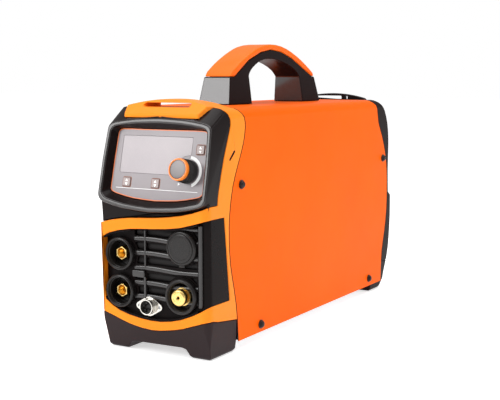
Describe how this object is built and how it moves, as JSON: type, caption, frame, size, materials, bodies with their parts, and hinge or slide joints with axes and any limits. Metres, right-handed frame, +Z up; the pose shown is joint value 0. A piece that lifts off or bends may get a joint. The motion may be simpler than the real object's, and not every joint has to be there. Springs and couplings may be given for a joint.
{
  "type": "tig welding machine",
  "caption": "Portable inverter TIG welding power source: steel cover between moulded ends, hooded control panel, cable sockets and arched carrying handle.",
  "frame": {"origin": "middle of the bounding box, on the plane that the feet stand on", "axes": "+Z up, +Y from the control panel towards the rear fan, +X to the right of someone facing the rear (the machine's left seen from its front is -X)"},
  "size_m": [0.1698, 0.5662, 0.3854],
  "materials": {
    "cover": "satin powder coat",
    "amber": "satin",
    "orange": "satin",
    "dark": "satin",
    "black": "satin",
    "silver": "satin metallic film",
    "lens": "gloss",
    "display": "gloss",
    "grey": "satin",
    "button": "satin",
    "red": "gloss",
    "brass": "machined",
    "chrome": "polished",
    "zinc": "zinc plated",
    "metal": "milled",
    "board": "solder mask",
    "copper": "enamelled winding",
    "ferrite": "matt",
    "blue": "sleeve"
  },
  "bodies": {
    "case": {"steel_cover": "cover", "base_pan": "zinc", "front_frame": "amber", "control_hood": "dark", "front_grille": "dark", "front_base": "dark", "control_panel": "silver", "display_window": "lens", "display_module": "display", "control_board": "board", "encoder_body": "zinc", "socket_body_upper": "black", "socket_contact_upper": "brass", "socket_body_lower": "black", "socket_contact_lower": "brass", "blank_cap": "black", "torch_socket_body": "black", "torch_fitting": "brass", "aviation_flange": "chrome", "aviation_insert": "black", "handle_core": "dark", "handle_grip": "orange", "handle_bolt_front": "zinc", "handle_bolt_rear": "zinc", "rear_bezel": "dark", "rear_base": "dark", "rear_panel": "black", "fan_guard": "black", "fan_frame": "black", "switch_body": "black", "cable_gland": "black", "gas_inlet": "brass", "power_board": "board", "heatsink_front": "metal", "heatsink_rear": "metal", "support_bracket": "zinc", "transformer_core": "ferrite", "transformer_winding": "copper", "output_reactor": "copper", "capacitor_front": "blue", "capacitor_rear": "blue", "gas_valve": "zinc", "hf_unit": "grey", "cover_screw_left_front": "black", "cover_screw_left_rear": "black", "cover_screw_left_front_low": "black", "cover_screw_left_rear_low": "black", "cover_screw_right_front": "black", "cover_screw_right_rear": "black", "cover_screw_right_front_low": "black", "cover_screw_right_rear_low": "black"},
    "knob": {"knob_body": "black", "knob_ring": "orange", "knob_cap": "grey", "encoder_shaft": "metal"},
    "left_button": {"button_left": "button"},
    "middle_button": {"button_middle": "button"},
    "right_button": {"button_right": "button"},
    "power_rocker": {"switch_rocker": "red"},
    "fan": {"fan_rotor": "black"}
  },
  "joints": [
    {"name": "knob_turn", "type": "hinge", "parent": "case", "child": "knob", "pos_m": [0.0438, -0.25802, 0.22798], "axis": [0, -0.9744, 0.225], "continuous": true},
    {"name": "left_button_press", "type": "slide", "parent": "case", "child": "left_button", "axis": [0, -0.9744, 0.225], "range_m": [-0.001, 0], "stiffness_N_per_m": 400},
    {"name": "middle_button_press", "type": "slide", "parent": "case", "child": "middle_button", "axis": [0, -0.9744, 0.225], "range_m": [-0.001, 0], "stiffness_N_per_m": 400},
    {"name": "right_button_press", "type": "slide", "parent": "case", "child": "right_button", "axis": [0, -0.9744, 0.225], "range_m": [-0.001, 0], "stiffness_N_per_m": 400},
    {"name": "power_rocker_tilt", "type": "hinge", "parent": "case", "child": "power_rocker", "pos_m": [0.038, 0.2591, 0.104], "axis": [1, 0, 0], "range_deg": [0, 18]},
    {"name": "fan_spin", "type": "hinge", "parent": "case", "child": "fan", "pos_m": [0, 0.2471, 0.197], "axis": [0, 1, 0], "continuous": true}
  ]
}
